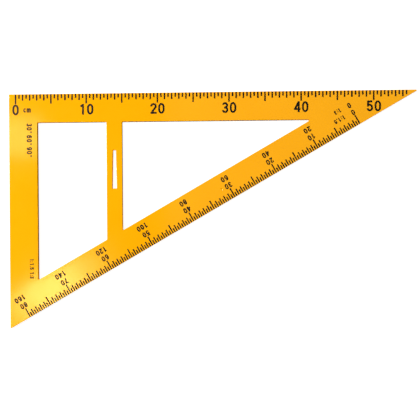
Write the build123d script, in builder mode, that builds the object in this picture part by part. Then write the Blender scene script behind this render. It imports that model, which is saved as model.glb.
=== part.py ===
"""Blackboard set square, 30-60-90 degrees, with printed scales.

One injection-moulded plastic frame carries everything: three legs around the outline, a crossbar
that splits the inside into two openings, and a tapered slot in the crossbar. The scales, numerals
and legends are thin films of printing ink on the upper face. Each kind of print is its own node.

The part lies flat, printed face up. +X runs along the long edge from the right-angle corner to the
30 degree tip, +Y points at the long edge, +Z out of the printed face. The origin is on the
underside, under the middle of the outline. Millimetres throughout.
"""
import os
from math import cos, radians, sin, tan

from build123d import *

os.makedirs("parts", exist_ok=True)

# ---- outline ----
TIP_ANGLE = 30.0
FOOT_ANGLE = 60.0
SHORT_LEG = 330.0
LONG_LEG = SHORT_LEG / tan(radians(TIP_ANGLE))
THICKNESS = 4.0
LEG_WIDTH = 40.0
SLANT_LEG_WIDTH = 39.5
CORNER_RADIUS = 1.0
EDGE_RADIUS = 0.35

# ---- crossbar and its tapered slot, measured from the right-angle corner ----
CROSSBAR_START = 137.6
CROSSBAR_WIDTH = 22.0
SLOT_START = 79.6
SLOT_LENGTH = 53.8
SLOT_NARROW = 4.4
SLOT_WIDE = 6.6
SLOT_CORNER_RADIUS = 0.8

# ---- moulding marks: the gate on the printed face, ejector pins on the underside ----
GATE_ALONG = 304.0
GATE_DEPTH = 19.0
GATE_WIDTH = 3.2
GATE_HOLLOW = 0.5
EJECTOR_WIDTH = 7.0
EJECTOR_HOLLOW = 0.12
LONG_LEG_EJECTORS = (20.0, 148.6, 265.0, 380.0)
SHORT_LEG_EJECTORS = (115.0, 210.0)
SLANT_LEG_EJECTORS = (110.0, 210.0, 330.0, 470.0, 590.0)

# ---- ink ----
INK = 0.08
CM_TICK_WIDTH = 2.1
RATIO_TICK_WIDTH = 1.8
TICK_MARGIN = 0.45

# ---- centimetre scale on the long edge, ticks every half centimetre ----
CM_ZERO = 9.6
CM_STEP = 5.0
CM_LAST_TICK = 109
CM_TICK_LENGTHS = {"half": 6.3, "unit": 9.1, "five": 13.6, "ten": 13.9}
CM_NUMERAL_HEIGHT = 15.0
CM_NUMERAL_TOP = 14.5
CM_MARK_HEIGHT = 7.4
CM_MARK_PLACE = (20.6, 25.8)

# ---- ratio scale on the hypotenuse, measured from the 30 degree tip ----
# Two steps are one unit of the 1:1.5 scale, and one step is one unit of the 1:3 scale.
RATIO_ZERO = 93.6
RATIO_STEP = 10.0 / 3.0
RATIO_LAST_TICK = 160
RATIO_TICK_LENGTHS = {"half": 6.5, "unit": 9.6, "five": 13.5, "ten": 14.2}
RATIO_NUMERAL_HEIGHT = 7.7
INNER_ROW_TOP = 14.8
OUTER_ROW_TOP = 25.8
RATIO_LABEL_HEIGHT = 6.0
RATIO_LABEL_PLACE = 106.3

# ---- legends on the short leg, reading down: distance down, distance from the edge, height ----
ANGLE_LEGEND = (41.0, 25.0, 7.5)
SCALE_LEGEND = (231.0, 28.2, 5.7)

# ---- lettering, as fractions of the character height ----
PENS = {"regular": 0.175, "bold": 0.21}
ALPHABETS = {"regular": "012345", "bold": "0123456789cm°.:"}
DIGIT_WIDTH = 0.59
LETTER_HEIGHT = 0.80
C_WIDTH = 0.58
M_WIDTH = 0.78
LETTER_GAP = 0.06
DIGIT_GAP = 0.145
POINT_PITCH = 0.36
DEGREE_PITCH = 0.40
DEGREE_RADIUS = 0.17

# ---- frame: a rounded tip ends short of its sharp corner ----
OUTLINE_LENGTH = LONG_LEG - CORNER_RADIUS / tan(radians(TIP_ANGLE / 2)) + CORNER_RADIUS
OUTLINE_HEIGHT = SHORT_LEG - CORNER_RADIUS / tan(radians(FOOT_ANGLE / 2)) + CORNER_RADIUS


def at(along, down):
    """A point given by its distances from the right-angle corner, along the long and short edges."""
    return (along - OUTLINE_LENGTH / 2, OUTLINE_HEIGHT / 2 - down)


# The print planes: x reads along the edge, y points out of the plate across it.
long_edge = Plane(origin=(*at(0, 0), THICKNESS), x_dir=(1, 0, 0), z_dir=(0, 0, 1))
slant_edge = Plane(
    origin=(*at(LONG_LEG, 0), THICKNESS),
    x_dir=(-cos(radians(TIP_ANGLE)), -sin(radians(TIP_ANGLE)), 0),
    z_dir=(0, 0, 1),
)
short_leg = Plane(origin=(*at(0, 0), THICKNESS), x_dir=(0, -1, 0), z_dir=(0, 0, 1))


# ---------------------------------------------------------------- the moulding
SLANT_REACH = LONG_LEG * sin(radians(TIP_ANGLE)) - SLANT_LEG_WIDTH


def slant_below(along):
    """The point of the slanted leg's inner edge at a distance along the long edge."""
    return at(along, (SLANT_REACH - along * sin(radians(TIP_ANGLE))) / cos(radians(TIP_ANGLE)))


crossbar_end = CROSSBAR_START + CROSSBAR_WIDTH
crossbar_middle = CROSSBAR_START + CROSSBAR_WIDTH / 2
opening_tip = (SLANT_REACH - LEG_WIDTH * cos(radians(TIP_ANGLE))) / sin(radians(TIP_ANGLE))
slot_end = SLOT_START + SLOT_LENGTH

with BuildPart() as moulded_frame:
    with BuildSketch() as outline:
        Polygon(at(0, 0), at(0, SHORT_LEG), at(LONG_LEG, 0), align=None)
        fillet(outline.vertices(), CORNER_RADIUS)
    extrude(amount=THICKNESS)

    with BuildSketch() as openings:
        Polygon(
            at(LEG_WIDTH, LEG_WIDTH),
            slant_below(LEG_WIDTH),
            slant_below(CROSSBAR_START),
            at(CROSSBAR_START, LEG_WIDTH),
            align=None,
        )
        Polygon(
            at(crossbar_end, LEG_WIDTH),
            slant_below(crossbar_end),
            at(opening_tip, LEG_WIDTH),
            align=None,
        )
        fillet(openings.vertices(), CORNER_RADIUS)
    extrude(amount=THICKNESS, mode=Mode.SUBTRACT)

    with BuildSketch() as slot:
        Polygon(
            at(crossbar_middle - SLOT_NARROW / 2, SLOT_START),
            at(crossbar_middle - SLOT_WIDE / 2, slot_end),
            at(crossbar_middle + SLOT_WIDE / 2, slot_end),
            at(crossbar_middle + SLOT_NARROW / 2, SLOT_START),
            align=None,
        )
        fillet(slot.vertices(), SLOT_CORNER_RADIUS)
    extrude(amount=THICKNESS, mode=Mode.SUBTRACT)

    underside, *_, printed_face = moulded_frame.faces().filter_by(Axis.Z).sort_by(Axis.Z)
    fillet(underside.edges() + printed_face.edges(), EDGE_RADIUS)

    # The gate is a shallow spherical hollow in the slanted leg.
    gate_sphere = ((GATE_WIDTH / 2) ** 2 + GATE_HOLLOW**2) / (2 * GATE_HOLLOW)
    gate_height = gate_sphere - GATE_HOLLOW
    gate = slant_edge.from_local_coords((GATE_ALONG, -GATE_DEPTH, gate_height))
    with Locations(gate):
        Sphere(gate_sphere, mode=Mode.SUBTRACT)

    # Ejector pins leave shallow round marks on the underside, along the middle of each leg.
    ejectors = [at(along, LEG_WIDTH / 2) for along in LONG_LEG_EJECTORS]
    ejectors += [at(LEG_WIDTH / 2, down) for down in SHORT_LEG_EJECTORS]
    for along in SLANT_LEG_EJECTORS:
        middle = slant_edge.from_local_coords((along, -SLANT_LEG_WIDTH / 2, 0))
        ejectors.append((middle.X, middle.Y))
    with BuildSketch() as marks:
        with Locations(*ejectors):
            Circle(EJECTOR_WIDTH / 2)
    extrude(amount=EJECTOR_HOLLOW, mode=Mode.SUBTRACT)


# ---------------------------------------------------------------- lettering
def strokes(symbol, width):
    """Draw one character, one unit high, with a pen of a width in the BuildSketch in progress."""
    half = width / 2
    left = half
    right = DIGIT_WIDTH - half
    middle = DIGIT_WIDTH / 2
    low = half
    high = 1 - half
    bowl = middle - half
    small_bowl = 0.9 * bowl

    def pen(*points):
        """A straight stroke through the points."""
        with BuildLine() as path:
            Polyline(*points)
        trace(path.line, line_width=width)

    def bend(*points):
        """A stroke along the circular arc through three points."""
        with BuildLine() as path:
            ThreePointArc(*points)
        trace(path.line, line_width=width)

    def arc(x, y, radius_x, radius_y, start, sweep):
        """A stroke along part of an ellipse, from the start angle through the sweep in degrees."""
        with BuildLine() as path:
            EllipticalCenterArc((x, y), radius_x, radius_y, start, arc_size=sweep)
        trace(path.line, line_width=width)

    if symbol == "0":
        arc(middle, 0.60, bowl, high - 0.60, 0, 180)
        arc(middle, 0.40, bowl, 0.40 - low, 180, 180)
        pen((left, 0.40), (left, 0.60))
        pen((right, 0.40), (right, 0.60))
    elif symbol == "1":
        pen((0.355, 0), (0.355, 1))
        pen((0.12, 0.755), (0.36, 0.91))
    elif symbol == "2":
        arc(middle, high - bowl, bowl, bowl, -38, 226)
        turn = radians(-38)
        pen((middle + bowl * cos(turn), high - bowl + bowl * sin(turn)), (left + 0.02, low))
        pen((0.01, low), (0.576, low))
    elif symbol == "3":
        arc(middle, high - small_bowl, small_bowl, small_bowl, -90, 260)
        arc(middle, low + bowl, bowl, bowl, -172, 262)
        pen((0.205, low + 2 * bowl), (0.315, low + 2 * bowl))
        pen((middle, low + 2 * bowl), (middle, high - 2 * small_bowl))
    elif symbol == "4":
        pen((0.43, 0), (0.43, 1))
        pen((0, 0.29), (0.60, 0.29))
        pen((0.405, 0.92), (left + 0.01, 0.32))
    elif symbol == "5":
        pen((0.150 - half, high), (0.53, high))
        pen((0.150, high), (left + 0.029, 0.44))
        arc(middle, low + 0.26, bowl, 0.26, -166, 316)
    elif symbol == "6":
        arc(middle, 0.60, bowl, high - 0.60, 30, 150)
        pen((left, 0.60), (left, 0.32))
        arc(middle, low + 0.25, bowl, 0.25, 180, 360)
    elif symbol == "7":
        pen((0, high), (0.57, high))
        bend((0.19, 0), (0.312, 0.46), (0.57 - width / 2, 0.90))
    elif symbol == "8":
        arc(middle, high - 0.21, small_bowl, 0.21, 0, 360)
        arc(middle, low + 0.235, bowl, 0.235, 0, 360)
    elif symbol == "9":
        arc(middle, 0.40, bowl, 0.40 - low, 210, 150)
        pen((right, 0.40), (right, 0.68))
        arc(middle, high - 0.25, bowl, 0.25, 0, 360)
    elif symbol == "c":
        half_height = LETTER_HEIGHT / 2
        arc(C_WIDTH / 2, half_height, C_WIDTH / 2 - half, half_height - half, 42, 276)
    elif symbol == "m":
        arch = (M_WIDTH - width) / 4
        spring = LETTER_HEIGHT - half - arch
        pen((half, 0), (half, LETTER_HEIGHT))
        for crown in (1, 3):
            arc(half + crown * arch, spring, arch, arch, 0, 180)
            pen((half + (crown + 1) * arch, 0), (half + (crown + 1) * arch, spring))
    elif symbol == "°":
        with Locations((DEGREE_PITCH / 2, 1 - DEGREE_RADIUS)):
            Circle(DEGREE_RADIUS)
            Circle(DEGREE_RADIUS - half, mode=Mode.SUBTRACT)
    elif symbol in ".:":
        heights = (half, 0.56) if symbol == ":" else (half,)
        with Locations(*[(0.10, height) for height in heights]):
            Rectangle(width, width)


PITCHES = {symbol: DIGIT_WIDTH + DIGIT_GAP for symbol in "0123456789"}
PITCHES.update({symbol: POINT_PITCH for symbol in ".: "})
PITCHES.update({"°": DEGREE_PITCH, "c": C_WIDTH + LETTER_GAP, "m": M_WIDTH})

characters = {}
for weight, width in PENS.items():
    for symbol in ALPHABETS[weight]:
        with BuildSketch() as character:
            strokes(symbol, width)
        characters[weight, symbol] = character.sketch


def write(text, weight, height, left, base):
    """Add a line of text to the BuildSketch in progress, the first character's foot at a point."""
    x = left
    for symbol in text:
        if symbol != " ":
            with Locations((x, base)):
                add(scale(characters[weight, symbol], by=height, mode=Mode.PRIVATE))
        x += height * PITCHES[symbol]


def print_text(plane, text, height, left, base):
    """The ink film of one line of bold text, in the BuildPart in progress."""
    with BuildSketch(plane) as line:
        write(text, "bold", height, left, base)
    extrude(line.sketch, amount=INK)


def print_numerals(plane, numbers, places, weight, height, top):
    """The ink films of a row of numbers, each centred on its place, their tops at one depth."""
    with BuildSketch(plane) as row:
        for number, place in zip(numbers, places):
            width = height * (sum(PITCHES[digit] for digit in str(number)) - DIGIT_GAP)
            write(str(number), weight, height, place - width / 2, -top - height)
    extrude(row.sketch, amount=INK)


def print_ticks(plane, places, width, length):
    """The ink films of a row of equal ticks, from just inside the edge to a depth."""
    with BuildSketch(plane) as row:
        with Locations(*[(place, -TICK_MARGIN) for place in places]):
            Rectangle(width, length - TICK_MARGIN, align=(Align.CENTER, Align.MAX))
    extrude(row.sketch, amount=INK)


def tick_class(step):
    """Half unit, unit, five or ten: how long a tick is, by its number of half units."""
    for every, name in ((20, "ten"), (10, "five"), (2, "unit")):
        if step % every == 0:
            return name
    return "half"


def tick_places(name, last, zero, spacing):
    """Where the ticks of one class lie along a scale."""
    return [zero + spacing * step for step in range(last + 1) if tick_class(step) == name]


# ---------------------------------------------------------------- centimetre scale
cm_ticks = {}
for name, length in CM_TICK_LENGTHS.items():
    with BuildPart() as films:
        places = tick_places(name, CM_LAST_TICK, CM_ZERO, CM_STEP)
        print_ticks(long_edge, places, CM_TICK_WIDTH, length)
    cm_ticks[name] = films

with BuildPart() as cm_numerals:
    print_numerals(
        long_edge,
        range(0, 60, 10),
        tick_places("ten", CM_LAST_TICK, CM_ZERO, CM_STEP),
        "regular",
        CM_NUMERAL_HEIGHT,
        CM_NUMERAL_TOP,
    )

with BuildPart() as cm_mark:
    mark_along, mark_depth = CM_MARK_PLACE
    print_text(long_edge, "cm", CM_MARK_HEIGHT, mark_along, -mark_depth)

# ---------------------------------------------------------------- ratio scales
ratio_ticks = {}
for name, length in RATIO_TICK_LENGTHS.items():
    with BuildPart() as films:
        places = tick_places(name, RATIO_LAST_TICK, RATIO_ZERO, RATIO_STEP)
        print_ticks(slant_edge, places, RATIO_TICK_WIDTH, length)
    ratio_ticks[name] = films

ratio_tens = tick_places("ten", RATIO_LAST_TICK, RATIO_ZERO, RATIO_STEP)

with BuildPart() as inner_numerals:
    inner_numbers = range(0, 90, 10)
    height = RATIO_NUMERAL_HEIGHT
    print_numerals(slant_edge, inner_numbers, ratio_tens, "bold", height, INNER_ROW_TOP)

with BuildPart() as outer_numerals:
    outer_numbers = range(0, 180, 20)
    height = RATIO_NUMERAL_HEIGHT
    print_numerals(slant_edge, outer_numbers, ratio_tens, "bold", height, OUTER_ROW_TOP)

with BuildPart() as inner_label:
    inner_base = -INNER_ROW_TOP - RATIO_NUMERAL_HEIGHT
    print_text(slant_edge, "1:1.5", RATIO_LABEL_HEIGHT, RATIO_LABEL_PLACE, inner_base)

with BuildPart() as outer_label:
    outer_base = -OUTER_ROW_TOP - RATIO_NUMERAL_HEIGHT
    print_text(slant_edge, "1:3", RATIO_LABEL_HEIGHT, RATIO_LABEL_PLACE, outer_base)

# ---------------------------------------------------------------- legends
with BuildPart() as angle_legend:
    down, across, height = ANGLE_LEGEND
    print_text(short_leg, "30° 60° 90°", height, down, across)

with BuildPart() as scale_legend:
    down, across, height = SCALE_LEGEND
    print_text(short_leg, "1:1.5 1:3", height, down, across)

# ---------------------------------------------------------------- files
nodes = {
    "moulded_frame": moulded_frame,
    "cm_half_ticks": cm_ticks["half"],
    "cm_unit_ticks": cm_ticks["unit"],
    "cm_five_ticks": cm_ticks["five"],
    "cm_ten_ticks": cm_ticks["ten"],
    "cm_numerals": cm_numerals,
    "cm_mark": cm_mark,
    "ratio_half_ticks": ratio_ticks["half"],
    "ratio_unit_ticks": ratio_ticks["unit"],
    "ratio_five_ticks": ratio_ticks["five"],
    "ratio_ten_ticks": ratio_ticks["ten"],
    "ratio_inner_numerals": inner_numerals,
    "ratio_outer_numerals": outer_numerals,
    "ratio_inner_label": inner_label,
    "ratio_outer_label": outer_label,
    "angle_legend": angle_legend,
    "scale_legend": scale_legend,
}
for name, piece in nodes.items():
    piece.part.label = name
    export_step(piece.part, f"parts/{name}.step")
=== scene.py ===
"""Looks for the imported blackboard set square: moulded yellow plastic, printed ink, studio light."""
from math import cos, pi, radians, sin

import bpy
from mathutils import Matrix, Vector


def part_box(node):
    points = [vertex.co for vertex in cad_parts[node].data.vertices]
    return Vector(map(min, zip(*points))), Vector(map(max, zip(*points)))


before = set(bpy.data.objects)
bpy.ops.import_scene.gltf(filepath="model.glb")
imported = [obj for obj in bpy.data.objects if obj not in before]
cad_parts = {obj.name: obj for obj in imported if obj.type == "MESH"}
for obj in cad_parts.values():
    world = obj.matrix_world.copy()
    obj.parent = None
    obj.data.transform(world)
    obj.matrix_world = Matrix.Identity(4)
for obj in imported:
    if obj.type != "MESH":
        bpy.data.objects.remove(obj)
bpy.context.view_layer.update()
MM = 0.001


# ---------------------------------------------------------------- node helpers
def new_material(name):
    """An empty node material with its output, and a Principled shader joined to it."""
    material = bpy.data.materials.new(name)
    material.use_nodes = True
    tree = material.node_tree
    tree.nodes.clear()
    output = tree.nodes.new("ShaderNodeOutputMaterial")
    shader = tree.nodes.new("ShaderNodeBsdfPrincipled")
    tree.links.new(shader.outputs["BSDF"], output.inputs["Surface"])
    return material, tree, shader


def object_point(tree):
    """The object's own coordinates, in metres in the row frame."""
    return tree.nodes.new("ShaderNodeTexCoord").outputs["Object"]


def noise(tree, point, lumps, detail, distortion=0.0):
    """A noise pattern with a number of lumps per metre."""
    node = tree.nodes.new("ShaderNodeTexNoise")
    node.inputs["Scale"].default_value = lumps
    node.inputs["Detail"].default_value = detail
    node.inputs["Distortion"].default_value = distortion
    tree.links.new(point, node.inputs["Vector"])
    return node.outputs["Fac"]


def spread(tree, value, low, high, from_low=0.0, from_high=1.0):
    """A pattern's values, stretched from one range to another."""
    node = tree.nodes.new("ShaderNodeMapRange")
    node.inputs["From Min"].default_value = from_low
    node.inputs["From Max"].default_value = from_high
    node.inputs["To Min"].default_value = low
    node.inputs["To Max"].default_value = high
    tree.links.new(value, node.inputs["Value"])
    return node.outputs["Result"]


def blend_colors(tree, factor, first, second):
    """Two colours mixed by a pattern."""
    node = tree.nodes.new("ShaderNodeMix")
    node.data_type = "RGBA"
    tree.links.new(factor, node.inputs["Factor"])
    node.inputs["A"].default_value = (*first, 1)
    node.inputs["B"].default_value = (*second, 1)
    return node.outputs["Result"]


def bump(tree, height, depth, normal=None):
    """A bump whose full height is a depth in metres."""
    node = tree.nodes.new("ShaderNodeBump")
    node.inputs["Distance"].default_value = depth
    tree.links.new(height, node.inputs["Height"])
    if normal is not None:
        tree.links.new(normal, node.inputs["Normal"])
    return node.outputs["Normal"]


# ---------------------------------------------------------------- materials
# Most of a noise pattern lies in the middle of its range, so that part is what gets stretched.
NOISE_MIDDLE = {"from_low": 0.3, "from_high": 0.7}
DEEP_YELLOW = (0.915, 0.388, 0.0006)
LIGHT_YELLOW = (0.945, 0.406, 0.0014)
DEEP_BLACK = (0.005, 0.004, 0.002)
WORN_BLACK = (0.010, 0.008, 0.004)


def yellow_plastic():
    """Glossy moulded plastic: faint flow clouds, slow waviness and a fine moulded texture."""
    material, tree, shader = new_material("yellow_plastic")
    point = object_point(tree)
    clouds = noise(tree, point, lumps=14, detail=3, distortion=0.6)
    clouds = spread(tree, clouds, low=0, high=1, **NOISE_MIDDLE)
    color = blend_colors(tree, clouds, DEEP_YELLOW, LIGHT_YELLOW)
    tree.links.new(color, shader.inputs["Base Color"])
    smears = noise(tree, point, lumps=60, detail=4)
    roughness = spread(tree, smears, low=0.11, high=0.14, **NOISE_MIDDLE)
    tree.links.new(roughness, shader.inputs["Roughness"])
    waves = bump(tree, noise(tree, point, lumps=9, detail=1), depth=0.3 * MM)
    grain = bump(tree, noise(tree, point, lumps=1500, detail=2), depth=0.0015 * MM, normal=waves)
    tree.links.new(grain, shader.inputs["Normal"])
    shader.inputs["IOR"].default_value = 1.5
    return material


def black_ink():
    """Screen-printed ink, a little uneven in tone and duller than the plastic."""
    material, tree, shader = new_material("black_ink")
    point = object_point(tree)
    patches = noise(tree, point, lumps=700, detail=3)
    patches = spread(tree, patches, low=0, high=1, **NOISE_MIDDLE)
    color = blend_colors(tree, patches, DEEP_BLACK, WORN_BLACK)
    tree.links.new(color, shader.inputs["Base Color"])
    tree.links.new(spread(tree, patches, low=0.55, high=0.65), shader.inputs["Roughness"])
    pores = bump(tree, noise(tree, point, lumps=2500, detail=2), depth=0.01 * MM)
    tree.links.new(pores, shader.inputs["Normal"])
    shader.inputs["Specular IOR Level"].default_value = 0.15
    return material


def dress(names, material):
    """Give CAD nodes a material in place of their packed one."""
    for name in names:
        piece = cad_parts[name]
        piece.data.materials.clear()
        piece.data.materials.append(material)


dress(["moulded_frame"], yellow_plastic())
dress([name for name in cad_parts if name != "moulded_frame"], black_ink())


# ---------------------------------------------------------------- floor and backdrop
def studio_white():
    """White, lit from within, so that the object throws next to no shadow on it."""
    material, _, shader = new_material("studio_white")
    shader.inputs["Base Color"].default_value = (0.3, 0.3, 0.3, 1)
    shader.inputs["Roughness"].default_value = 0.9
    shader.inputs["Emission Color"].default_value = (1, 1, 1, 1)
    shader.inputs["Emission Strength"].default_value = 0.93
    return material


def set_stage(surface, name, material):
    """Name a new mesh and give it the stage material; it lights nothing and isn't mirrored in the
    object.
    """
    surface.name = name
    surface.data.materials.append(material)
    surface.visible_diffuse = False
    surface.visible_glossy = False


STAGE_SIZE = 16
FLOOR_GAP = 0.0002
white = studio_white()
bpy.ops.mesh.primitive_plane_add(size=STAGE_SIZE, location=(0, 0, -FLOOR_GAP))
set_stage(bpy.context.object, "floor", white)
bpy.ops.mesh.primitive_uv_sphere_add(radius=STAGE_SIZE / 2, segments=48, ring_count=24)
backdrop = bpy.context.object
set_stage(backdrop, "backdrop", white)
backdrop.visible_shadow = False

# ---------------------------------------------------------------- camera
camera = bpy.data.cameras.new("camera")
camera.sensor_width = 36
camera.lens = 36.65
camera_object = bpy.data.objects.new("camera", camera)
camera_object.location = (0.0097, 0.0012, 0.6)
camera_object.rotation_euler = (radians(-0.108), radians(1.154), radians(-0.385))
bpy.context.scene.collection.objects.link(camera_object)
bpy.context.scene.camera = camera_object


# ---------------------------------------------------------------- light
def area_light(name, size, watts, color):
    """A rectangular area light, not yet placed, that the camera never sees itself."""
    data = bpy.data.lights.new(name, "AREA")
    data.shape = "RECTANGLE"
    data.size, data.size_y = size
    data.energy = watts
    data.color = color
    light = bpy.data.objects.new(name, data)
    light.visible_camera = False
    bpy.context.scene.collection.objects.link(light)
    return light


def softbox(name, place, side, watts):
    """A square studio light aimed at the middle of the object."""
    light = area_light(name, (side, side), watts, (1, 1, 1))
    light.location = place
    light.rotation_euler = (-Vector(place)).to_track_quat("-Z", "Y").to_euler()


# The glossy plate mirrors what hangs over it, seen from the camera.
plate_low, plate_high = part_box("moulded_frame")
plate_top = plate_high.z
PANEL_HEIGHT = 1.2
RISE = (PANEL_HEIGHT - plate_top) / (camera_object.location.z - plate_top)
WINDOW_COLOR = (1.0, 0.97, 0.36)
ROOM_COLOR = (1.0, 0.9, 0.75)


def reflected_panel(name, along, down, length, width, brightness, color, turn=0):
    """A panel whose reflection covers a patch of the plate, placed from the right-angle corner."""
    size = (length * (1 + RISE), width * (1 + RISE))
    light = area_light(name, size, pi * size[0] * size[1] * brightness, color)
    patch = Vector((plate_low.x + along, plate_high.y - down, plate_top))
    light.location = patch + (patch - camera_object.location) * RISE
    light.location.z = PANEL_HEIGHT
    light.rotation_euler.z = turn


softbox("key_left", place=(-2.6, 0.8, 1.7), side=1.2, watts=178)
softbox("fill_right", place=(1.9, -0.6, 0.9), side=0.8, watts=13.5)
reflected_panel(
    "ceiling_right",
    along=0.43,
    down=0.05,
    length=0.42,
    width=0.36,
    brightness=0.3,
    color=ROOM_COLOR,
)
reflected_panel(
    "window_corner",
    along=0.012,
    down=0.060,
    length=0.065,
    width=0.052,
    brightness=5.0,
    color=WINDOW_COLOR,
)

# The window at the foot is a row of strips along the slanted leg, fading out both ways.
SLANT = radians(30)
INNER_CORNER = (0.040, 0.2611)  # the left opening's lowest corner, along and down
FOOT_WINDOW_WIDTH = 0.045
FADE_TO_FOOT = 0.08
FADE_TO_TIP = 0.12
STRIP = 0.02
FOOT_WINDOW_BRIGHTNESS = 13.5
for number in range(round((FADE_TO_FOOT + FADE_TO_TIP) / STRIP)):
    middle = STRIP * (number + 0.5) - FADE_TO_FOOT
    fade = 0.5 + 0.5 * cos(pi * middle / (FADE_TO_TIP if middle > 0 else FADE_TO_FOOT))
    along = INNER_CORNER[0] + middle * cos(SLANT) + FOOT_WINDOW_WIDTH / 2 * sin(SLANT)
    down = INNER_CORNER[1] - middle * sin(SLANT) + FOOT_WINDOW_WIDTH / 2 * cos(SLANT)
    brightness = FOOT_WINDOW_BRIGHTNESS * fade
    size = (STRIP, FOOT_WINDOW_WIDTH)
    reflected_panel(f"window_foot_{number}", along, down, *size, brightness, WINDOW_COLOR, SLANT)

world = bpy.data.worlds.new("studio")
world.use_nodes = True
world.node_tree.nodes["Background"].inputs["Color"].default_value = (1, 1, 1, 1)
world.node_tree.nodes["Background"].inputs["Strength"].default_value = 0.01
bpy.context.scene.world = world
bpy.context.scene.view_settings.view_transform = "Standard"
